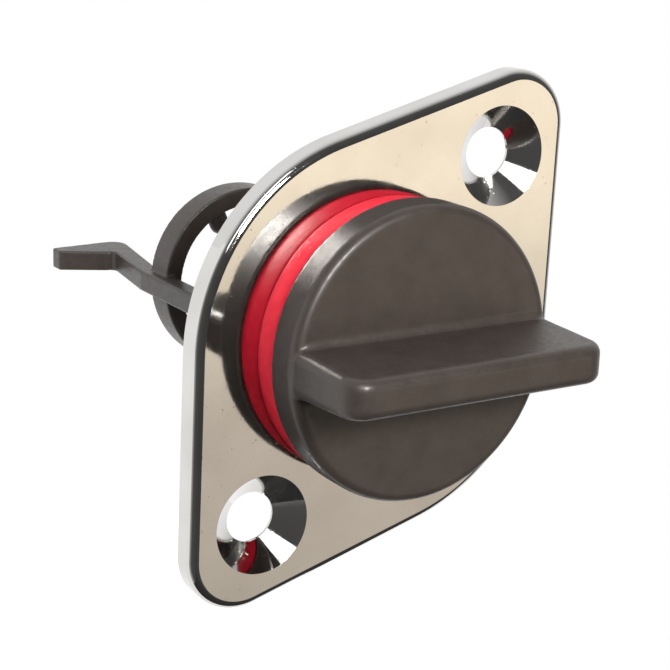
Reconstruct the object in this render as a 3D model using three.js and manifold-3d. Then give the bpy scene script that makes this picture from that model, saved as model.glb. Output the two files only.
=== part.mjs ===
// Captive screw-in drain plug in a cast lozenge flange, for a boat's transom or hull.
//
// Millimetres, +Z up. The origin is the centre of the bore on the flange's flat back face.
// -Y is outboard, towards the plug's handle, and +Y is inboard. The flange's two screw holes
// lie on the Z axis. Each piece is a separate closed solid:
//
//   flange            chromed casting: lozenge plate and internally threaded spigot
//   sealing_washer    thick rubber ring squeezed between the flange and the plug's cap
//   drain_plug        moulded cap with a blade handle, hollow threaded stem and snap prongs
//   retainer          swivelling cage on the stem: collar, two legs, end ring and hooked tail

import * as THREE from 'three';
import { mergeVertices } from 'three/addons/utils/BufferGeometryUtils.js';
import Module from 'manifold-3d';

const wasm = await Module();
wasm.setup();

// Driving dimensions.

const ROUND_STEPS = 60;
const HOLE_STEPS = 40;
const OVERLAP = 1;
const SEAT_GAP = 0.05;
const RUNNING_GAP = 0.08;

const PLATE = {
  thickness: 3,
  midRadius: 22.7,
  endRadius: 6.3,
  endOffset: 27.4,
  edgeRadius: 1.1,
};

const SCREW_HOLE = {
  offset: 23.7,
  radius: 2.8,
  sinkRadius: 5.5,
};

const THREAD = {
  pitch: 2.4,
  height: 0.75,
  crestWidth: 0.5,
  baseWidth: 1.5,
  rootOverlap: 0.2,
  stepsPerTurn: 30,
};

const SPIGOT = {
  length: 9,
  outerRadius: 15,
  boreRadius: 12.6,
  chamfer: 0.6,
};

const WASHER = {
  thickness: 3.4,
  innerRadius: 13.1,
  outerRadius: 15.6,
  bulge: 0.1,
};

const CAP = {
  radius: 16,
  height: 4.3,
  edgeRadius: 1,
};

const WING = {
  reach: 15.8,
  height: 10.6,
  rootThickness: 5,
  tipThickness: 4.1,
  edgeRadius: 0.8,
  cornerRadius: 2.6,
  rootDepth: 3,
};

const STEM = {
  threadEnd: 8,
  journalRadius: 8,
  journalEnd: 12.4,
  headRadius: 8.8,
  headLength: 2.6,
  headLift: 0.2,
  headLand: 0.9,
  headTipRadius: 7.6,
  coreRadius: 5.6,
  coreStart: -4,
  slotWidth: 1.6,
  slotStart: 8.6,
};

const CAGE = {
  collarStart: 8.25,
  collarLength: 3.9,
  outerRadius: 11,
  wall: 2.1,
  ringStart: 26.5,
  ringLength: 4,
  legWidth: 2.4,
  legThickness: 2.3,
  legOuterRadius: 12.3,
  lugRadius: 1.2,
  lugReach: 5.9,
  lugAngle: 66,
};

const TAIL = {
  notchReach: 10.8,
  notchDepth: 41.2,
  notchRadius: 1,
  heelReach: 7.5,
  heelDepth: 46.4,
  heelRadius: 2,
  tipReach: 16.9,
  tipDepth: 43.8,
  tipThickness: 2.1,
};

// At rest the blade handle stands this far round from the line of the screw holes.
const WING_ANGLE_FROM_Z = THREE.MathUtils.degToRad(52.3);

// Places along the bore axis, worked out from the dimensions above.

const plateFront = -PLATE.thickness;
const washerBack = plateFront - SEAT_GAP;
const washerFront = washerBack - WASHER.thickness;
const capBack = washerFront - SEAT_GAP;
const capFace = capBack - CAP.height;
const wingTip = capFace - WING.height;
const stemRadius = SPIGOT.boreRadius - RUNNING_GAP;
const threadCrest = stemRadius;
const threadRoot = threadCrest - THREAD.height;

// Closed geometry to solid and back.

function indexedTriangles(geometry) {
  const bare = geometry.clone();
  bare.deleteAttribute('normal');
  bare.deleteAttribute('uv');
  const merged = mergeVertices(bare, 1e-4);
  const index = merged.index.array;
  const kept = [];
  for (let i = 0; i < index.length; i += 3) {
    const [a, b, c] = [index[i], index[i + 1], index[i + 2]];
    if (a !== b && b !== c && c !== a) kept.push(a, b, c);
  }
  return { position: merged.attributes.position, triangles: kept };
}

function signedVolume(position, triangles) {
  const [a, b, c] = [new THREE.Vector3(), new THREE.Vector3(), new THREE.Vector3()];
  let sum = 0;
  for (let i = 0; i < triangles.length; i += 3) {
    a.fromBufferAttribute(position, triangles[i]);
    b.fromBufferAttribute(position, triangles[i + 1]);
    c.fromBufferAttribute(position, triangles[i + 2]);
    sum += a.dot(b.cross(c)) / 6;
  }
  return sum;
}

function solid(geometry) {
  const { position, triangles } = indexedTriangles(geometry);
  if (signedVolume(position, triangles) < 0) triangles.reverse();
  const mesh = new wasm.Mesh({
    numProp: 3,
    vertProperties: new Float32Array(position.array),
    triVerts: new Uint32Array(triangles),
  });
  return new wasm.Manifold(mesh);
}

function geometryOf(body) {
  const mesh = body.getMesh();
  const geometry = new THREE.BufferGeometry();
  geometry.setAttribute('position', new THREE.BufferAttribute(mesh.vertProperties, 3));
  geometry.setIndex(new THREE.BufferAttribute(mesh.triVerts, 1));
  geometry.computeVertexNormals();
  return geometry;
}

// Shapes about the bore axis, which is Y.

// A turned solid. Each profile point is [radius, y].
function turned(profile, steps = ROUND_STEPS) {
  const points = profile.map(([radius, y]) => new THREE.Vector2(radius, y));
  return solid(new THREE.LatheGeometry(points, steps));
}

function cylinder(radius, from, to) {
  return turned([[0, from], [radius, from], [radius, to], [0, to]]);
}

function tube(inner, outer, from, to) {
  return turned([[inner, from], [outer, from], [outer, to], [inner, to], [inner, from]]);
}

function block(from, to) {
  const size = to.map((value, i) => value - from[i]);
  const middle = to.map((value, i) => (value + from[i]) / 2);
  return solid(new THREE.BoxGeometry(...size).translate(...middle));
}

// A quarter arc of profile points about a centre, from one angle to another in degrees.
function arc(centre, radius, fromDeg, toDeg, count) {
  const points = [];
  for (let i = 0; i <= count; i += 1) {
    const angle = THREE.MathUtils.degToRad(fromDeg + ((toDeg - fromDeg) * i) / count);
    points.push([centre[0] + radius * Math.cos(angle), centre[1] + radius * Math.sin(angle)]);
  }
  return points;
}

// A helical ridge: a straight bar of the tooth's section, wound about Y. The bar's length
// becomes the angle. Right-handed about -Y, so turning it anticlockwise, seen from outboard,
// moves it outboard. It starts half a facet round, so that its ends fall inside a facet.
function helicalRidge(innerRadius, crestRadius, yStart, yEnd) {
  const startAngle = Math.PI / ROUND_STEPS;
  const turns = (yEnd - yStart) / THREAD.pitch;
  const steps = Math.ceil(turns * THREAD.stepsPerTurn);
  const tooth = new THREE.Shape();
  tooth.moveTo(innerRadius, -THREAD.baseWidth / 2);
  tooth.lineTo(crestRadius, -THREAD.crestWidth / 2);
  tooth.lineTo(crestRadius, THREAD.crestWidth / 2);
  tooth.lineTo(innerRadius, THREAD.baseWidth / 2);
  const bar = new THREE.ExtrudeGeometry(tooth, { depth: turns, steps, bevelEnabled: false });
  const place = bar.attributes.position;
  for (let i = 0; i < place.count; i += 1) {
    const turn = place.getZ(i);
    const radius = place.getX(i);
    const angle = startAngle + 2 * Math.PI * turn;
    const y = yStart + turn * THREAD.pitch + place.getY(i);
    place.setXYZ(i, radius * Math.cos(angle), y, -radius * Math.sin(angle));
  }
  return solid(bar);
}

// Flange.

// The lozenge: the outline stretched round a middle circle and two end circles on Z.
function lozengeShape() {
  const { midRadius, endRadius, endOffset } = PLATE;
  const lean = Math.asin((midRadius - endRadius) / endOffset);
  const shape = new THREE.Shape();
  shape.absarc(0, 0, midRadius, -lean, lean);
  shape.absarc(0, endOffset, endRadius, lean, Math.PI - lean);
  shape.absarc(0, 0, midRadius, Math.PI - lean, Math.PI + lean);
  shape.absarc(0, -endOffset, endRadius, Math.PI + lean, 2 * Math.PI - lean);
  return shape;
}

function plateSolid() {
  const { thickness, edgeRadius } = PLATE;
  const geometry = new THREE.ExtrudeGeometry(lozengeShape(), {
    depth: thickness,
    bevelEnabled: true,
    bevelSize: edgeRadius,
    bevelOffset: -edgeRadius,
    bevelThickness: edgeRadius,
    bevelSegments: 4,
    curveSegments: 20,
  });
  geometry.translate(0, 0, edgeRadius - thickness);
  geometry.rotateX(-Math.PI / 2);
  geometry.scale(1, 1, -1);
  const reach = PLATE.endOffset + PLATE.endRadius + OVERLAP;
  const inboardHalf = block([-reach, 0, -reach], [reach, thickness + edgeRadius, reach]);
  return solid(geometry).subtract(inboardHalf);
}

// A countersunk hole, open at both faces.
function screwHole(z) {
  const { radius, sinkRadius } = SCREW_HOLE;
  const coneEnd = plateFront + (sinkRadius - radius);
  const hole = turned([
    [0, plateFront - OVERLAP],
    [sinkRadius + OVERLAP, plateFront - OVERLAP],
    [radius, coneEnd],
    [radius, OVERLAP],
    [0, OVERLAP],
  ], HOLE_STEPS);
  return hole.translate([0, 0, z]);
}

function flange() {
  const { length, outerRadius, boreRadius, chamfer } = SPIGOT;
  const spigot = turned([
    [0, -OVERLAP],
    [outerRadius, -OVERLAP],
    [outerRadius, length - chamfer],
    [outerRadius - chamfer, length],
    [0, length],
  ]);
  const bore = cylinder(boreRadius, plateFront - OVERLAP, length + OVERLAP);
  const leadIn = turned([
    [0, plateFront - OVERLAP],
    [boreRadius + THREAD.height + OVERLAP, plateFront - OVERLAP],
    [boreRadius, plateFront + THREAD.height],
    [0, plateFront + THREAD.height],
  ]);
  const groove = helicalRidge(
    boreRadius - THREAD.rootOverlap,
    boreRadius + THREAD.height,
    plateFront - THREAD.pitch,
    length + THREAD.pitch,
  );
  return plateSolid()
    .add(spigot)
    .subtract(bore)
    .subtract(leadIn)
    .subtract(groove)
    .subtract(screwHole(SCREW_HOLE.offset))
    .subtract(screwHole(-SCREW_HOLE.offset));
}

// Washer, with an edge that bulges where the plug squeezes it.

function sealingWasher() {
  const { innerRadius, outerRadius, bulge } = WASHER;
  const middle = (washerBack + washerFront) / 2;
  const half = (washerBack - washerFront) / 2;
  const rim = [];
  const count = 6;
  for (let i = 0; i <= count; i += 1) {
    const lift = -1 + (2 * i) / count;
    rim.push([outerRadius - bulge * lift * lift, middle + half * lift]);
  }
  return turned([
    [innerRadius, washerFront],
    ...rim,
    [innerRadius, washerBack],
    [innerRadius, washerFront],
  ]);
}

// Drain plug.

function capSolid() {
  const { radius, edgeRadius } = CAP;
  return turned([
    [0, capFace],
    ...arc([radius - edgeRadius, capFace + edgeRadius], edgeRadius, -90, 0, 4),
    [radius, capBack],
    [0, capBack],
  ]);
}

// The blade: all but as wide as the cap and thicker at its root, with rounded edges and corners.
function wingSolid() {
  const { reach, height, rootThickness, tipThickness, edgeRadius, cornerRadius } = WING;
  const root = capFace + WING.rootDepth;
  const outline = new THREE.Shape();
  outline.moveTo(-reach, root);
  outline.lineTo(-reach, wingTip + cornerRadius);
  outline.absarc(-reach + cornerRadius, wingTip + cornerRadius, cornerRadius,
    Math.PI, 1.5 * Math.PI);
  outline.absarc(reach - cornerRadius, wingTip + cornerRadius, cornerRadius,
    -0.5 * Math.PI, 0);
  outline.lineTo(reach, root);
  const blade = new THREE.ExtrudeGeometry(outline, {
    depth: tipThickness - 2 * edgeRadius,
    bevelEnabled: true,
    bevelSize: edgeRadius,
    bevelOffset: -edgeRadius,
    bevelThickness: edgeRadius,
    bevelSegments: 3,
    curveSegments: 6,
  });
  blade.translate(0, 0, edgeRadius - tipThickness / 2);
  const draft = (rootThickness / tipThickness - 1) / height;
  const place = blade.attributes.position;
  for (let i = 0; i < place.count; i += 1) {
    place.setZ(i, place.getZ(i) * (1 + draft * (place.getY(i) - wingTip)));
  }
  return solid(blade);
}

// The stem is open at its inboard end, and slots divide that end into four prongs.
function stemSolid() {
  const head = STEM.journalEnd + STEM.headLength;
  const body = turned([
    [0, capBack - OVERLAP],
    [threadRoot, capBack - OVERLAP],
    [threadRoot, STEM.threadEnd - THREAD.height],
    [threadRoot - THREAD.height, STEM.threadEnd],
    [STEM.journalRadius, STEM.threadEnd],
    [STEM.journalRadius, STEM.journalEnd],
    [STEM.headRadius, STEM.journalEnd + STEM.headLift],
    [STEM.headRadius, STEM.journalEnd + STEM.headLand],
    [STEM.headTipRadius, head],
    [0, head],
  ]);
  const ridge = helicalRidge(
    threadRoot - THREAD.rootOverlap,
    threadCrest,
    plateFront + THREAD.baseWidth,
    STEM.threadEnd - THREAD.baseWidth,
  );
  const core = cylinder(STEM.coreRadius, STEM.coreStart, head + OVERLAP);
  const half = STEM.slotWidth / 2;
  const reach = STEM.headRadius + OVERLAP;
  const slotEnd = head + OVERLAP;
  const slotAcross = block([-reach, STEM.slotStart, -half], [reach, slotEnd, half]);
  const slotUp = block([-half, STEM.slotStart, -reach], [half, slotEnd, reach]);
  return body.add(ridge).subtract(core).subtract(slotAcross).subtract(slotUp);
}

function drainPlug() {
  return capSolid().add(wingSolid()).add(stemSolid());
}

// Retainer, with its tail on the -X side of its own frame.

// A bar along Y at the rim of the cage, from the collar into the end ring.
function leg(side) {
  const { legOuterRadius, legThickness, legWidth, collarStart, ringStart, ringLength } = CAGE;
  const inner = legOuterRadius - legThickness;
  const half = legWidth / 2;
  const low = Math.min(side * inner, side * legOuterRadius);
  const high = Math.max(side * inner, side * legOuterRadius);
  return block([low, collarStart, -half], [high, ringStart + ringLength, half]);
}

// The tail: back from the ring, leaning in towards the axis, then hooked out past the leg.
function tailSolid() {
  const { notchReach, notchDepth, notchRadius, heelReach, heelDepth, heelRadius } = TAIL;
  const ringEnd = CAGE.ringStart + CAGE.ringLength;
  const start = ringEnd - OVERLAP;
  const outer = -CAGE.legOuterRadius;
  const inner = outer + CAGE.legThickness;
  const outline = new THREE.Shape();
  outline.moveTo(outer, start);
  outline.lineTo(outer, ringEnd);
  outline.lineTo(-notchReach, notchDepth - notchRadius);
  outline.quadraticCurveTo(-notchReach, notchDepth, -notchReach - notchRadius, notchDepth);
  outline.lineTo(-TAIL.tipReach, TAIL.tipDepth);
  outline.lineTo(-TAIL.tipReach, TAIL.tipDepth + TAIL.tipThickness);
  outline.lineTo(-heelReach - heelRadius, heelDepth);
  outline.quadraticCurveTo(-heelReach, heelDepth, -heelReach, heelDepth - heelRadius);
  outline.lineTo(inner, ringEnd);
  outline.lineTo(inner, start);
  const depth = CAGE.legWidth;
  const bar = new THREE.ExtrudeGeometry(outline, { depth, bevelEnabled: false, curveSegments: 6 });
  return solid(bar.translate(0, 0, -depth / 2));
}

// A small rounded lug that points inwards from the end ring.
function lugSolid() {
  const { outerRadius, wall, ringStart, ringLength, lugRadius, lugReach, lugAngle } = CAGE;
  const rootReach = outerRadius - wall / 2;
  const lug = new THREE.CapsuleGeometry(lugRadius, rootReach - lugReach - 2 * lugRadius, 4, 12);
  lug.rotateZ(Math.PI / 2);
  lug.translate(-(lugReach + rootReach) / 2, ringStart + ringLength / 2, 0);
  lug.rotateY(THREE.MathUtils.degToRad(lugAngle));
  return solid(lug);
}

function retainer() {
  const { collarStart, collarLength, outerRadius, wall, ringStart, ringLength } = CAGE;
  const swivel = STEM.journalRadius + RUNNING_GAP;
  const collar = tube(swivel, outerRadius, collarStart, collarStart + collarLength);
  const ring = tube(outerRadius - wall, outerRadius, ringStart, ringStart + ringLength);
  return collar.add(ring).add(leg(-1)).add(leg(1)).add(tailSolid()).add(lugSolid());
}

// Assembly.

const chrome = new THREE.MeshStandardMaterial({ color: 0xd9d2c4, roughness: 0.12, metalness: 1 });
const rubber = new THREE.MeshStandardMaterial({ color: 0xc0201c, roughness: 0.5, metalness: 0 });
const nylon = new THREE.MeshStandardMaterial({ color: 0x2b2826, roughness: 0.55, metalness: 0 });

function named(name, body, material) {
  const mesh = new THREE.Mesh(geometryOf(body), material.clone());
  mesh.name = name;
  return mesh;
}

const plugAndCage = new THREE.Group();
plugAndCage.add(named('drain_plug', drainPlug(), nylon));
plugAndCage.add(named('retainer', retainer(), nylon));
plugAndCage.rotation.y = WING_ANGLE_FROM_Z - Math.PI / 2;

const assembly = new THREE.Group();
assembly.add(named('flange', flange(), chrome));
assembly.add(named('sealing_washer', sealingWasher(), rubber));
assembly.add(plugAndCage);

export default assembly;
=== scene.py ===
"""A captive screw-in drain plug in a chromed lozenge flange, closed, on a plain pale stage.

Metres. -Y is outboard, towards the plug's handle; the two screw holes lie on the Z axis.
"""

import math

import bmesh
import bpy
from mathutils import Matrix, Vector


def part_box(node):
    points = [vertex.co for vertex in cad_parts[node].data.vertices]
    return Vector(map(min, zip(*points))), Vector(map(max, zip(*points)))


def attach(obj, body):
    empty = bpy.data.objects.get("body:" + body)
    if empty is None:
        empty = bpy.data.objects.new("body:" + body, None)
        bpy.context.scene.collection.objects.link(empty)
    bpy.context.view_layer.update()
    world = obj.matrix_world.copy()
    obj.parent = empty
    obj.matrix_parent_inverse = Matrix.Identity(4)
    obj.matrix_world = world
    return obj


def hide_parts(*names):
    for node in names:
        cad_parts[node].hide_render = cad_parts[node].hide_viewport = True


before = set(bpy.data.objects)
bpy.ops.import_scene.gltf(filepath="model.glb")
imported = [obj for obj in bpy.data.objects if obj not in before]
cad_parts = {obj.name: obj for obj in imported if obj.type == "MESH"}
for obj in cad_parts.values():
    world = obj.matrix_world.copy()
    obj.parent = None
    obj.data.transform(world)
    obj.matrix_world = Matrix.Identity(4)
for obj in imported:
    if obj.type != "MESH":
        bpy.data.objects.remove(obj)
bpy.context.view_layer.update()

MM = 0.001

# ---------------------------------------------------------------- sizes from the frame

flange_low, flange_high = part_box("flange")
washer_low, washer_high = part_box("sealing_washer")
plug_low, plug_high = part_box("drain_plug")
cage_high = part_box("retainer")[1]

PLATE_FRONT = flange_low.y
SPIGOT_END = flange_high.y
PLATE_HALF_WIDTH = flange_high.x
PLATE_HALF_LENGTH = flange_high.z
WASHER_FRONT = washer_low.y
WASHER_BACK = washer_high.y
WASHER_RADIUS = washer_high.z
WING_TIP = plug_low.y
STEM_END = plug_high.y
TAIL_END = cage_high.y

# The blade handle's own directions: across it, and up from it, square to the bore.
WING_ANGLE = math.radians(52.3)
ACROSS = Vector((math.sin(WING_ANGLE), 0, math.cos(WING_ANGLE)))
UP = Vector((-math.cos(WING_ANGLE), 0, math.sin(WING_ANGLE)))
OUTBOARD = Vector((0, -1, 0))
TO_WING_FRAME = Matrix.Rotation(WING_ANGLE - math.pi / 2, 4, "Y")

# ---------------------------------------------------------------- driving sizes

# How far a cutter or a joined body reaches past a face, so that no two faces coincide.
OVERLAP = 1 * MM

PLATE_END_RADIUS = 6.3 * MM
PLATE_EDGE_RADIUS = 1.1 * MM
PLATE_BACK_EASE = 0.25 * MM
SCREW_OFFSET = 23.7 * MM
SCREW_RADIUS = 2.8 * MM
SINK_RADIUS = 5.5 * MM
SPIGOT_RADIUS = 15 * MM
SPIGOT_CHAMFER = 0.6 * MM
BORE_RADIUS = 12.6 * MM
CASTING_EASE = 0.14 * MM

THREAD_PITCH = 2.4 * MM
THREAD_HEIGHT = 0.75 * MM
THREAD_HALF_BASE = 0.75 * MM
THREAD_HALF_CREST = 0.25 * MM
THREAD_INSET = 1.5 * MM
RUNNING_GAP = 0.08 * MM

WASHER_INNER_RADIUS = 13.1 * MM
WASHER_INNER_EASE = 0.2 * MM
WASHER_CORNER = 0.12 * MM
WASHER_SEAT_CORNER = 0.03 * MM
WASHER_BULGE = 0.08 * MM

CAP_RADIUS = 16.0 * MM
CAP_HEIGHT = 4.3 * MM
CAP_EDGE_RADIUS = 1.0 * MM

WING_HEIGHT = 10.6 * MM
WING_REACH = 15.8 * MM
WING_ROOT_THICKNESS = 5.0 * MM
WING_TIP_THICKNESS = 4.1 * MM
WING_ROOT_DEPTH = 1.5 * MM
WING_EDGE_RADIUS = 1.0 * MM
WING_CORNER_RADIUS = 2.6 * MM
WING_LEAST_BEND = 0.4 * MM
WING_FILLET = 1.1 * MM

# The journal is drawn a little slimmer than in the CAD, and the collar's bore a little wider,
# so that the remeshed skins stay apart.
THREAD_END = 8 * MM
JOURNAL_RADIUS = 7.9 * MM
JOURNAL_END = 12.4 * MM
HEAD_RADIUS = 8.8 * MM
HEAD_TIP_RADIUS = 7.6 * MM
CORE_RADIUS = 5.6 * MM
CORE_START = -4 * MM
SLOT_START = 8.6 * MM
SLOT_REACH = 10 * MM
SLOT_HALF_WIDTH = 0.8 * MM

COLLAR_INNER_RADIUS = 8.3 * MM
COLLAR_START = 8.25 * MM
COLLAR_END = 12.15 * MM
CAGE_RADIUS = 11 * MM
CAGE_WALL = 2.1 * MM
RING_START = 26.5 * MM
RING_END = 30.5 * MM
LEG_OUTER = 12.3 * MM
LEG_THICKNESS = 2.3 * MM
LEG_WIDTH = 2.4 * MM
LUG_RADIUS = 1.2 * MM
LUG_ROOT = 10 * MM
LUG_TIP = 5.9 * MM
LUG_ANGLE = math.radians(66)

TAIL_NOTCH_REACH = 10.8 * MM
TAIL_NOTCH_END = 41.2 * MM
TAIL_NOTCH_RADIUS = 1 * MM
TAIL_HEEL_REACH = 7.5 * MM
TAIL_HEEL_RADIUS = 2 * MM
TAIL_TIP_REACH = 16.9 * MM
TAIL_TIP_START = 43.8 * MM
TAIL_TIP_END = 45.9 * MM

PLUG_VOXEL = 0.2 * MM
CAGE_VOXEL = 0.16 * MM
SMOOTHING_PASSES = 3

FLOOR_DROP = 45 * MM
FLOOR_REACH = 2.4
BACKDROP_RADIUS = 3.6

CAP_FACE = WING_TIP + WING_HEIGHT
CAP_BACK = CAP_FACE + CAP_HEIGHT


# ---------------------------------------------------------------- mesh helpers

def new_object(name, bm, smooth=True):
    """Turns a bmesh into an object of the scene."""
    bmesh.ops.recalc_face_normals(bm, faces=bm.faces)
    mesh = bpy.data.meshes.new(name)
    bm.to_mesh(mesh)
    bm.free()
    for face in mesh.polygons:
        face.use_smooth = smooth
    piece = bpy.data.objects.new(name, mesh)
    bpy.context.scene.collection.objects.link(piece)
    return piece


def loft(bm, rings, close_ends=True):
    """Joins rings of points, each the same count, with quads. A one-point ring is a pole."""
    made = []
    for ring in rings:
        made.append([bm.verts.new(point) for point in ring])
    for a, b in zip(made, made[1:]):
        count = max(len(a), len(b))
        for i in range(count):
            j = (i + 1) % count
            if len(a) == 1:
                bm.faces.new((a[0], b[i], b[j]))
            elif len(b) == 1:
                bm.faces.new((a[i], b[0], a[j]))
            else:
                bm.faces.new((a[i], b[i], b[j], a[j]))
    if close_ends:
        for ring in (made[0], made[-1]):
            if len(ring) > 2:
                bm.faces.new(ring)


def turn(bm, profile, steps=192):
    """Turns a profile of (radius, y) points about the bore axis."""
    rings = []
    for radius, y in profile:
        if radius == 0:
            rings.append([(0, y, 0)])
            continue
        ring = []
        for i in range(steps):
            angle = 2 * math.pi * i / steps
            ring.append((radius * math.cos(angle), y, radius * math.sin(angle)))
        rings.append(ring)
    loft(bm, rings, close_ends=False)


def arc(centre, radius, start, end, count):
    """Profile points along an arc, angles in degrees."""
    points = []
    for i in range(count + 1):
        angle = math.radians(start + (end - start) * i / count)
        points.append((centre[0] + radius * math.cos(angle), centre[1] + radius * math.sin(angle)))
    return points


def turned_object(name, profile, steps=192):
    bm = bmesh.new()
    turn(bm, profile, steps)
    return new_object(name, bm)


def helix(bm, inner, outer, y_start, y_end, steps_per_turn=96):
    """A threaded ridge of trapezoid section, wound about the bore axis.

    It starts half a facet round, which keeps the groove's corners off the bore's facet edges.
    """
    start_angle = 0.5 * math.pi / steps_per_turn
    turns = (y_end - y_start) / THREAD_PITCH
    rings = []
    count = math.ceil(turns * steps_per_turn)
    for i in range(count + 1):
        turned = turns * i / count
        angle = -2 * math.pi * turned - start_angle
        y = y_start + turned * THREAD_PITCH
        section = (
            (inner, -THREAD_HALF_BASE), (outer, -THREAD_HALF_CREST),
            (outer, THREAD_HALF_CREST), (inner, THREAD_HALF_BASE),
        )
        rings.append([
            (radius * math.cos(angle), y + lift, radius * math.sin(angle))
            for radius, lift in section
        ])
    loft(bm, rings)


def apply_modifiers(piece):
    """Replaces a piece's mesh with its modified one."""
    graph = bpy.context.evaluated_depsgraph_get()
    mesh = bpy.data.meshes.new_from_object(piece.evaluated_get(graph))
    piece.modifiers.clear()
    piece.data = mesh


def combine(piece, tool, operation):
    """Joins or cuts a piece with a tool, which is then removed."""
    change = piece.modifiers.new("combine", "BOOLEAN")
    change.operation = operation
    change.object = tool
    change.solver = "MANIFOLD"
    apply_modifiers(piece)
    bpy.data.objects.remove(tool)


def ease_edges(piece, width, segments=3, angle=30):
    """Breaks every sharp edge, as polishing does."""
    bevel = piece.modifiers.new("ease", "BEVEL")
    bevel.width = width
    bevel.segments = segments
    bevel.limit_method = "ANGLE"
    bevel.angle_limit = math.radians(angle)
    bevel.use_clamp_overlap = True
    bevel.harden_normals = False
    apply_modifiers(piece)


def remesh_soft(piece, voxel):
    """Fuses overlapping bodies into one skin with softly rounded edges."""
    remesh = piece.modifiers.new("remesh", "REMESH")
    remesh.mode = "VOXEL"
    remesh.voxel_size = voxel
    remesh.use_smooth_shade = True
    smooth = piece.modifiers.new("smooth", "SMOOTH")
    smooth.factor = 0.5
    smooth.iterations = SMOOTHING_PASSES
    apply_modifiers(piece)
    for face in piece.data.polygons:
        face.use_smooth = True


def settle(piece, material, body, node, sharp=None):
    """Gives a finished piece its material in a slot and its body, and hides the node that it stands
    for.
    """
    piece.data.materials.clear()
    piece.data.materials.append(material)
    if sharp is not None:
        piece.data.set_sharp_from_angle(angle=math.radians(sharp))
    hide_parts(node)
    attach(piece, body)


# ---------------------------------------------------------------- materials

class Surface:
    """A node material with short calls for the few nodes that the finishes need."""

    def __init__(self, name):
        self.material = bpy.data.materials.new(name)
        self.material.use_nodes = True
        self.tree = self.material.node_tree
        self.shader = self.tree.nodes["Principled BSDF"]
        coords = self.tree.nodes.new("ShaderNodeTexCoord")
        self.place = coords.outputs["Object"]

    def noise(self, size, detail=4.0, roughness=0.5):
        node = self.tree.nodes.new("ShaderNodeTexNoise")
        node.inputs["Scale"].default_value = 1 / size
        node.inputs["Detail"].default_value = detail
        node.inputs["Roughness"].default_value = roughness
        self.tree.links.new(self.place, node.inputs["Vector"])
        return node.outputs["Fac"]

    def spread(self, value, low, high, out_low, out_high):
        node = self.tree.nodes.new("ShaderNodeMapRange")
        node.inputs["From Min"].default_value = low
        node.inputs["From Max"].default_value = high
        node.inputs["To Min"].default_value = out_low
        node.inputs["To Max"].default_value = out_high
        self.tree.links.new(value, node.inputs["Value"])
        return node.outputs["Result"]

    def ramp(self, value, stops):
        node = self.tree.nodes.new("ShaderNodeValToRGB")
        ramp = node.color_ramp
        while len(ramp.elements) < len(stops):
            ramp.elements.new(0.5)
        for element, (position, colour) in zip(ramp.elements, stops):
            element.position = position
            element.color = (*colour, 1)
        self.tree.links.new(value, node.inputs["Fac"])
        return node.outputs["Color"]

    def bump(self, height, distance, strength=1.0, base=None):
        node = self.tree.nodes.new("ShaderNodeBump")
        node.inputs["Distance"].default_value = distance
        node.inputs["Strength"].default_value = strength
        self.tree.links.new(height, node.inputs["Height"])
        if base is not None:
            self.tree.links.new(base, node.inputs["Normal"])
        return node.outputs["Normal"]

    def set(self, socket, value):
        target = self.shader.inputs[socket]
        if isinstance(value, bpy.types.NodeSocket):
            self.tree.links.new(value, target)
        else:
            target.default_value = value


def chrome_finish():
    """Polished chrome on a casting: faint waves, fine pits and hazy patches."""
    s = Surface("chrome_plate")
    cloud = s.noise(9 * MM, 3)
    s.set("Metallic", 1.0)
    s.set("Base Color", s.ramp(cloud, [(0.35, (0.60, 0.585, 0.565)), (0.65, (0.66, 0.65, 0.635))]))
    s.set("Roughness", s.spread(s.noise(1.6 * MM, 5, 0.6), 0.35, 0.7, 0.05, 0.11))
    waves = s.bump(s.noise(7 * MM, 2), 0.06 * MM, 0.35)
    pits = s.spread(s.noise(0.5 * MM, 2), 0.675, 0.755, 1, 0)
    pitted = s.bump(pits, 0.012 * MM, 0.5, waves)
    s.set("Normal", s.bump(s.noise(0.35 * MM, 3), 0.004 * MM, 0.5, pitted))
    return s.material


def rubber_finish():
    """Red moulded rubber: fine matt skin with slight mottling."""
    s = Surface("red_rubber")
    s.set("Base Color", s.ramp(s.noise(1.2 * MM, 5), [
        (0.3, (0.84, 0.012, 0.042)),
        (0.7, (0.94, 0.026, 0.058)),
    ]))
    s.set("Roughness", s.spread(s.noise(0.5 * MM, 4), 0.3, 0.7, 0.34, 0.46))
    s.set("Specular IOR Level", 0.15)
    s.set("Normal", s.bump(s.noise(0.16 * MM, 4), 0.02 * MM, 0.5))
    return s.material


def nylon_finish():
    """Black moulded nylon: a spark-eroded grain, lightly scuffed."""
    s = Surface("black_nylon")
    s.set("Base Color", s.ramp(s.noise(2.5 * MM, 6, 0.6), [
        (0.3, (0.034, 0.026, 0.022)),
        (0.7, (0.046, 0.036, 0.031)),
    ]))
    s.set("Roughness", s.spread(s.noise(0.6 * MM, 5), 0.3, 0.7, 0.36, 0.50))
    s.set("Coat Weight", 0.12)
    s.set("Coat Roughness", 0.16)
    broad = s.bump(s.noise(5 * MM, 2), 0.05 * MM, 0.3)
    s.set("Normal", s.bump(s.noise(0.25 * MM, 4, 0.6), 0.02 * MM, 0.5, broad))
    return s.material


# ---------------------------------------------------------------- flange

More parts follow.
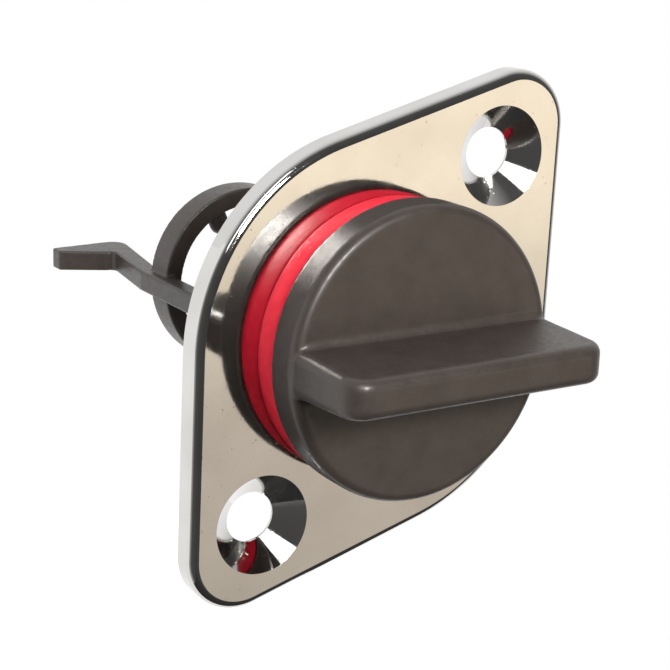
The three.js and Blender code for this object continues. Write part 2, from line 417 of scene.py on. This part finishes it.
def lozenge(inset, y):
    """The plate's outline: round a middle circle and two end circles."""
    end_offset = PLATE_HALF_LENGTH - PLATE_END_RADIUS
    lean = math.asin((PLATE_HALF_WIDTH - PLATE_END_RADIUS) / end_offset)
    corners = (
        (0, PLATE_HALF_WIDTH, -lean, lean, 40),
        (end_offset, PLATE_END_RADIUS, lean, math.pi - lean, 32),
        (0, PLATE_HALF_WIDTH, math.pi - lean, math.pi + lean, 40),
        (-end_offset, PLATE_END_RADIUS, math.pi + lean, 2 * math.pi - lean, 32),
    )
    ring = []
    for z, radius, start, end, count in corners:
        for i in range(count + 1):
            angle = start + (end - start) * i / count
            reach = radius - inset
            ring.append((reach * math.cos(angle), y, z + reach * math.sin(angle)))
    return ring


def plate():
    """The plate: its back edge is just eased, and its front edge is well rounded."""
    rings = [lozenge(PLATE_BACK_EASE, 0), lozenge(0, -PLATE_BACK_EASE)]
    steps = 10
    for i in range(steps + 1):
        angle = 0.5 * math.pi * i / steps
        inset = PLATE_EDGE_RADIUS * (1 - math.cos(angle))
        rings.append(lozenge(inset, PLATE_FRONT + PLATE_EDGE_RADIUS * (1 - math.sin(angle))))
    bm = bmesh.new()
    loft(bm, rings)
    return new_object("flange_visual", bm)


def screw_cutter(z):
    """The space that one countersunk screw takes out of the plate."""
    reach = 2 * OVERLAP
    land = PLATE_FRONT + (SINK_RADIUS - SCREW_RADIUS)
    tool = turned_object("cutter", [
        (0, PLATE_FRONT - reach),
        (SINK_RADIUS + reach, PLATE_FRONT - reach),
        (SCREW_RADIUS, land),
        (SCREW_RADIUS, reach),
        (0, reach),
    ], 96)
    tool.data.transform(Matrix.Translation((0, 0, z)))
    return tool


def build_flange(material):
    """The casting: plate and spigot, then the bore, the screw holes and the cut thread."""
    piece = plate()
    spigot = turned_object("spigot", [
        (0, -OVERLAP),
        (SPIGOT_RADIUS, -OVERLAP),
        (SPIGOT_RADIUS, SPIGOT_END - SPIGOT_CHAMFER),
        (SPIGOT_RADIUS - SPIGOT_CHAMFER, SPIGOT_END),
        (0, SPIGOT_END),
    ])
    combine(piece, spigot, "UNION")
    bore = turned_object("bore", [
        (0, PLATE_FRONT - OVERLAP),
        (BORE_RADIUS + THREAD_HEIGHT + OVERLAP, PLATE_FRONT - OVERLAP),
        (BORE_RADIUS, PLATE_FRONT + THREAD_HEIGHT),
        (BORE_RADIUS, SPIGOT_END + OVERLAP),
        (0, SPIGOT_END + OVERLAP),
    ])
    combine(piece, bore, "DIFFERENCE")
    for z in (SCREW_OFFSET, -SCREW_OFFSET):
        combine(piece, screw_cutter(z), "DIFFERENCE")
    ease_edges(piece, CASTING_EASE)
    groove_overlap = 0.3 * MM
    bm = bmesh.new()
    helix(bm, BORE_RADIUS - groove_overlap, BORE_RADIUS + THREAD_HEIGHT,
          PLATE_FRONT - THREAD_PITCH, SPIGOT_END + THREAD_PITCH)
    combine(piece, new_object("groove", bm), "DIFFERENCE")
    for face in piece.data.polygons:
        face.use_smooth = True
    weigh = piece.modifiers.new("weigh", "WEIGHTED_NORMAL")
    weigh.keep_sharp = True
    settle(piece, material, "flange", "flange", sharp=32)


# ---------------------------------------------------------------- washer

def build_washer(material):
    """A thick ring whose outer face bulges slightly. Its seat on the plate is all but sharp."""
    inner, ease = WASHER_INNER_RADIUS, WASHER_INNER_EASE
    corner, seat = WASHER_CORNER, WASHER_SEAT_CORNER
    middle = (WASHER_FRONT + WASHER_BACK) / 2
    half = (WASHER_BACK - WASHER_FRONT) / 2
    profile = [(inner, middle), (inner, WASHER_BACK - ease), (inner + ease, WASHER_BACK)]
    rim = WASHER_RADIUS - WASHER_BULGE
    profile += arc((rim - seat, WASHER_BACK - seat), seat, 90, 20, 3)
    steps = 10
    for i in range(1, steps):
        lift = 1 - 2 * i / steps
        profile.append((rim + WASHER_BULGE * (1 - lift * lift), middle + (half - corner) * lift))
    profile += arc((rim - corner, WASHER_FRONT + corner), corner, -20, -90, 6)
    profile += [(inner + ease, WASHER_FRONT), (inner, WASHER_FRONT + ease), (inner, middle)]
    piece = turned_object("sealing_washer_visual", profile, 256)
    bm = bmesh.new()
    bm.from_mesh(piece.data)
    merge_within = 0.001 * MM
    bmesh.ops.remove_doubles(bm, verts=bm.verts, dist=merge_within)
    bmesh.ops.recalc_face_normals(bm, faces=bm.faces)
    bm.to_mesh(piece.data)
    bm.free()
    settle(piece, material, "washer", "sealing_washer", sharp=60)


# ---------------------------------------------------------------- plug

def box(bm, low, high):
    """Adds a block between two corners."""
    made = bmesh.ops.create_cube(bm, size=1)["verts"]
    low, high = Vector(low), Vector(high)
    for vert in made:
        vert.co = Vector(low[i] + (vert.co[i] + 0.5) * (high[i] - low[i]) for i in range(3))


def blade(bm):
    """The handle: thicker at its root, with rounded edges and corners."""
    edge, root = WING_EDGE_RADIUS, CAP_FACE + WING_ROOT_DEPTH
    # The outline's points at the cap's face and just above it divide the drafted sides.
    above_cap = CAP_FACE - 1 * MM
    layers = []
    steps = 6
    for i in range(2 * steps + 2):
        side = -1 if i <= steps else 1
        turned = 0.5 * math.pi * (i if side < 0 else 2 * steps + 1 - i) / steps
        inset = edge * (1 - math.sin(turned))
        layers.append((side * (WING_TIP_THICKNESS / 2 - edge * (1 - math.cos(turned))), inset))
    rings = []
    for depth, inset in layers:
        reach, tip = WING_REACH - inset, WING_TIP + inset
        bend = max(WING_CORNER_RADIUS - inset, WING_LEAST_BEND)
        outline = [(-reach, root), (-reach, CAP_FACE), (-reach, above_cap)]
        outline += arc((-reach + bend, tip + bend), bend, 180, 270, 12)
        outline += arc((reach - bend, tip + bend), bend, 270, 360, 12)
        outline += [(reach, above_cap), (reach, CAP_FACE), (reach, root)]
        ring = []
        for x, y in outline:
            draft = (WING_ROOT_THICKNESS / WING_TIP_THICKNESS - 1) * (y - WING_TIP) / WING_HEIGHT
            ring.append((x, y, depth * (1 + draft)))
        rings.append(ring)
    loft(bm, rings)


def root_fillet(bm):
    """A small concave fillet along both sides of the handle's root."""
    size, steps = WING_FILLET, 8
    into_blade, short_of_end, into_cap = 0.25 * MM, 1.3 * MM, 0.5 * MM
    half = WING_ROOT_THICKNESS / 2 - into_blade
    reach = WING_REACH - short_of_end
    profile = [(-half - size, CAP_FACE + into_cap)]
    for i in range(steps + 1):
        angle = 0.5 * math.pi * i / steps
        out = size * (1 - math.sin(angle))
        up = size * (1 - math.cos(angle))
        profile.append((-half - out, CAP_FACE - up))
    mirrored = [(-z, y) for z, y in reversed(profile)]
    section = profile + mirrored
    loft(bm, [[(x, y, z) for z, y in section] for x in (-reach, reach)])


def build_plug(material):
    """Cap, blade and threaded stem in one skin, then the hollow core and the prongs' slots."""
    crest = BORE_RADIUS - RUNNING_GAP
    root = crest - THREAD_HEIGHT
    edge = CAP_EDGE_RADIUS
    head_start, head_land = JOURNAL_END + 0.2 * MM, JOURNAL_END + 0.9 * MM
    bm = bmesh.new()
    profile = [(0, CAP_FACE)]
    profile += arc((CAP_RADIUS - edge, CAP_FACE + edge), edge, -90, 0, 8)
    profile += [
        (CAP_RADIUS, CAP_BACK),
        (root, CAP_BACK),
        (root, THREAD_END - THREAD_HEIGHT),
        (root - THREAD_HEIGHT, THREAD_END),
        (JOURNAL_RADIUS, THREAD_END),
        (JOURNAL_RADIUS, JOURNAL_END),
        (HEAD_RADIUS, head_start),
        (HEAD_RADIUS, head_land),
        (HEAD_TIP_RADIUS, STEM_END),
        (0, STEM_END),
    ]
    turn(bm, profile)
    blade(bm)
    root_fillet(bm)
    ridge_overlap = 0.2 * MM
    helix(bm, root - ridge_overlap, crest, PLATE_FRONT + THREAD_INSET, THREAD_END - THREAD_INSET)
    piece = new_object("drain_plug_visual", bm)
    remesh_soft(piece, PLUG_VOXEL)
    core = turned_object("core", [
        (0, CORE_START),
        (CORE_RADIUS, CORE_START),
        (CORE_RADIUS, STEM_END + OVERLAP),
        (0, STEM_END + OVERLAP),
    ])
    combine(piece, core, "DIFFERENCE")
    for x, z in ((SLOT_REACH, SLOT_HALF_WIDTH), (SLOT_HALF_WIDTH, SLOT_REACH)):
        bm = bmesh.new()
        box(bm, (-x, SLOT_START, -z), (x, STEM_END + OVERLAP, z))
        combine(piece, new_object("slot", bm), "DIFFERENCE")
    piece.data.transform(TO_WING_FRAME)
    for face in piece.data.polygons:
        face.use_smooth = True
    settle(piece, material, "plug", "drain_plug", sharp=50)


# ---------------------------------------------------------------- retainer

def tube(bm, inner, outer, start, end):
    """Adds a plain ring about the bore axis."""
    turn(bm, [(inner, start), (outer, start), (outer, end), (inner, end), (inner, start)])


def curve_points(a, b, c, count):
    """Points on a quadratic curve from a to c, pulled towards b, in 2D or 3D."""
    out = []
    for i in range(count + 1):
        t = i / count
        out.append(tuple(
            (1 - t) ** 2 * p + 2 * t * (1 - t) * q + t * t * r for p, q, r in zip(a, b, c)
        ))
    return out


def tail(bm):
    """A bar that leans in behind the ring and ends in a wedge-shaped hook."""
    outer, inner = -LEG_OUTER, -LEG_OUTER + LEG_THICKNESS
    notch, notch_y, turn_in = -TAIL_NOTCH_REACH, TAIL_NOTCH_END, TAIL_NOTCH_RADIUS
    heel, turn_out = -TAIL_HEEL_REACH, TAIL_HEEL_RADIUS
    outline = [(outer, RING_END - OVERLAP), (outer, RING_END)]
    outline += curve_points(
        (notch, notch_y - turn_in), (notch, notch_y), (notch - turn_in, notch_y), 8)
    outline += [(-TAIL_TIP_REACH, TAIL_TIP_START), (-TAIL_TIP_REACH, TAIL_TIP_END)]
    outline += curve_points(
        (heel - turn_out, TAIL_END), (heel, TAIL_END), (heel, TAIL_END - turn_out), 10)
    outline += [(inner, RING_END), (inner, RING_END - OVERLAP)]
    half = LEG_WIDTH / 2
    sides = [[bm.verts.new((x, y, z)) for x, y in outline] for z in (-half, half)]
    for i in range(len(outline)):
        j = (i + 1) % len(outline)
        bm.faces.new((sides[0][i], sides[0][j], sides[1][j], sides[1][i]))
    bm.faces.new(sides[0])
    bm.faces.new(sides[1])


def round_lug(bm, root, tip, radius):
    """A round bar in the ring's own plane, from its root to a half-round tip."""
    along = (tip - root).normalized()
    aside = along.cross(Vector((0, 1, 0)))
    end_steps, round_steps, smallest = 8, 24, 1e-6
    profile = [(0.0, radius)]
    length = (tip - root).length
    for i in range(end_steps + 1):
        angle = 0.5 * math.pi * i / end_steps
        profile.append((length - radius + radius * math.sin(angle), radius * math.cos(angle)))
    loops = []
    for reach, size in profile:
        centre = root + along * reach
        if size < smallest:
            loops.append([centre])
            continue
        loops.append([
            centre + (aside * math.cos(turn_by) + Vector((0, 1, 0)) * math.sin(turn_by)) * size
            for turn_by in (2 * math.pi * k / round_steps for k in range(round_steps))
        ])
    loft(bm, loops, close_ends=False)
    bm.faces.new([bm.verts.new(point) for point in loops[0]])
    merge_within = 1e-7
    bmesh.ops.remove_doubles(bm, verts=bm.verts, dist=merge_within)


def build_retainer(material):
    """Collar, two legs, end ring, lug and tail, fused into one skin."""
    bm = bmesh.new()
    tube(bm, COLLAR_INNER_RADIUS, CAGE_RADIUS, COLLAR_START, COLLAR_END)
    tube(bm, CAGE_RADIUS - CAGE_WALL, CAGE_RADIUS, RING_START, RING_END)
    for sign in (-1, 1):
        low, high = sorted((sign * (LEG_OUTER - LEG_THICKNESS), sign * LEG_OUTER))
        box(bm, (low, COLLAR_START, -LEG_WIDTH / 2), (high, RING_END, LEG_WIDTH / 2))
    tail(bm)
    towards = Vector((-math.cos(LUG_ANGLE), 0, math.sin(LUG_ANGLE)))
    middle = Vector((0, (RING_START + RING_END) / 2, 0))
    round_lug(bm, middle + towards * LUG_ROOT, middle + towards * LUG_TIP, LUG_RADIUS)
    piece = new_object("retainer_visual", bm)
    remesh_soft(piece, CAGE_VOXEL)
    piece.data.transform(TO_WING_FRAME)
    settle(piece, material, "retainer", "retainer")


# ---------------------------------------------------------------- stage, light, camera

def build_stage():
    """A wide floor. It starts under the plate, so that the chrome's front mirrors a dark room."""
    reach, front, z = FLOOR_REACH, PLATE_FRONT, flange_low.z - FLOOR_DROP
    bm = bmesh.new()
    bm.faces.new([bm.verts.new(p) for p in (
        (-reach, front, z), (reach, front, z), (reach, reach, z), (-reach, reach, z))])
    floor = new_object("floor", bm, smooth=False)
    s = Surface("pale_floor")
    s.set("Base Color", (0.12, 0.12, 0.12, 1))
    s.set("Roughness", 0.8)
    s.set("Emission Color", (1, 1, 1, 1))
    s.set("Emission Strength", 0.98)
    floor.data.materials.append(s.material)


def build_backdrop():
    """A plain white surround, seen past the object but not mirrored in it or lighting it."""
    bm = bmesh.new()
    bmesh.ops.create_uvsphere(bm, u_segments=32, v_segments=16, radius=BACKDROP_RADIUS)
    backdrop = new_object("backdrop", bm)
    s = Surface("white_backdrop")
    s.set("Base Color", (0, 0, 0, 1))
    s.set("Specular IOR Level", 0)
    s.set("Emission Color", (1, 1, 1, 1))
    s.set("Emission Strength", 1.0)
    backdrop.data.materials.append(s.material)
    backdrop.visible_glossy = False
    backdrop.visible_diffuse = False
    backdrop.visible_transmission = False
    backdrop.visible_shadow = False


def card_finish(name, stops):
    """A lit card whose colour changes along its own length, from its low end to its high end."""
    s = Surface(name)
    split = s.tree.nodes.new("ShaderNodeSeparateXYZ")
    s.tree.links.new(s.tree.nodes["Texture Coordinate"].outputs["Generated"], split.inputs["Vector"])
    s.set("Base Color", (0, 0, 0, 1))
    s.set("Specular IOR Level", 0)
    s.set("Emission Color", s.ramp(split.outputs["Y"], stops))
    s.set("Emission Strength", 1.0)
    return s.material


def card(name, centre, width, height, stops):
    """A flat card that faces the plug, with its length along the handle's up direction.

    It lights the object and is mirrored in it, but the camera itself doesn't see it.
    """
    back = (Vector((0, PLATE_FRONT, 0)) - centre).normalized()
    side = UP.cross(back).normalized()
    top = back.cross(side)
    corners = ((-1, -1), (1, -1), (1, 1), (-1, 1))
    bm = bmesh.new()
    bm.faces.new([bm.verts.new((x * width / 2, y * height / 2, 0)) for x, y in corners])
    piece = new_object(name, bm, smooth=False)
    piece.matrix_world = Matrix.Translation(centre) @ Matrix((side, top, back)).transposed().to_4x4()
    piece.data.materials.append(card_finish(name, stops))
    piece.visible_camera = False


def build_cards():
    """The warm card that the plate's face mirrors, and a dark one under the plug."""
    card("warm_card", from_wing(222, -112, 315), 0.19, 0.24, [
        (0.0, (0.60, 0.54, 0.46)),
        (0.42, (0.78, 0.69, 0.58)),
        (0.75, (1.42, 1.24, 0.97)),
    ])
    card("dark_card", from_wing(20, -170, 60), 0.30, 0.20, [
        (0.0, (0.03, 0.03, 0.03)),
        (1.0, (0.05, 0.05, 0.05)),
    ])


def area_light(name, place, target, size, power, colour):
    light = bpy.data.lights.new(name, "AREA")
    light.shape = "RECTANGLE"
    light.size, light.size_y = size
    light.energy = power
    light.color = colour
    lamp = bpy.data.objects.new(name, light)
    lamp.location = place
    lamp.rotation_mode = "QUATERNION"
    lamp.rotation_quaternion = (target - place).to_track_quat("-Z", "Y")
    bpy.context.scene.collection.objects.link(lamp)


def from_wing(across, up, outboard):
    """A place given in the handle's own directions, in millimetres."""
    return (ACROSS * across + UP * up + OUTBOARD * outboard) * MM


def build_light():
    """A room that is dark in front and white behind, a soft key light and a long side one."""
    world = bpy.data.worlds.new("studio")
    bpy.context.scene.world = world
    world.use_nodes = True
    tree = world.node_tree
    place = tree.nodes.new("ShaderNodeTexCoord")
    split = tree.nodes.new("ShaderNodeSeparateXYZ")
    tree.links.new(place.outputs["Generated"], split.inputs["Vector"])
    spread = tree.nodes.new("ShaderNodeMapRange")
    for socket, value in (("From Min", -1.0), ("From Max", 1.0)):
        spread.inputs[socket].default_value = value
    tree.links.new(split.outputs["Y"], spread.inputs["Value"])
    ramp = tree.nodes.new("ShaderNodeValToRGB")
    stops = ((0.0, 0.06), (0.3, 0.10), (0.5, 0.62), (0.68, 1.0))
    while len(ramp.color_ramp.elements) < len(stops):
        ramp.color_ramp.elements.new(0.5)
    for element, (position, grey) in zip(ramp.color_ramp.elements, stops):
        element.position = position
        element.color = (grey, grey, grey, 1)
    tree.links.new(spread.outputs["Result"], ramp.inputs["Fac"])
    tree.links.new(ramp.outputs["Color"], tree.nodes["Background"].inputs["Color"])
    tree.nodes["Background"].inputs["Strength"].default_value = 1.0
    bpy.context.scene.view_settings.view_transform = "Standard"
    middle = from_wing(0, 0, 3)
    area_light("key", from_wing(-60, 190, 400), middle, (0.14, 0.14), 2.7, (1, 0.97, 0.93))
    area_light("side", from_wing(-190, 300, 250), middle, (0.1, 0.3), 0.22, (1, 1, 1))


def build_camera():
    """Left of the plug's axis and above it, close enough for the near end to loom."""
    plate_front = -PLATE_FRONT / MM
    place = from_wing(-102.5, 50.8, 149.3 + plate_front)
    aim = from_wing(-6.2, 1.1, plate_front)
    roll = math.radians(2.0)
    data = bpy.data.cameras.new("camera")
    data.sensor_width = 36
    data.lens = 94.4
    data.clip_start = 0.005
    data.clip_end = 20
    camera = bpy.data.objects.new("camera", data)
    back = (place - aim).normalized()
    side = UP.cross(back).normalized()
    top = back.cross(side)
    turned = Matrix((side, top, back)).transposed() @ Matrix.Rotation(roll, 3, "Z")
    camera.matrix_world = Matrix.Translation(place) @ turned.to_4x4()
    bpy.context.scene.collection.objects.link(camera)
    bpy.context.scene.camera = camera


chrome = chrome_finish()
rubber = rubber_finish()
nylon = nylon_finish()
build_camera()
build_stage()
build_backdrop()
build_cards()
build_light()
build_flange(chrome)
build_washer(rubber)
build_plug(nylon)
build_retainer(nylon)
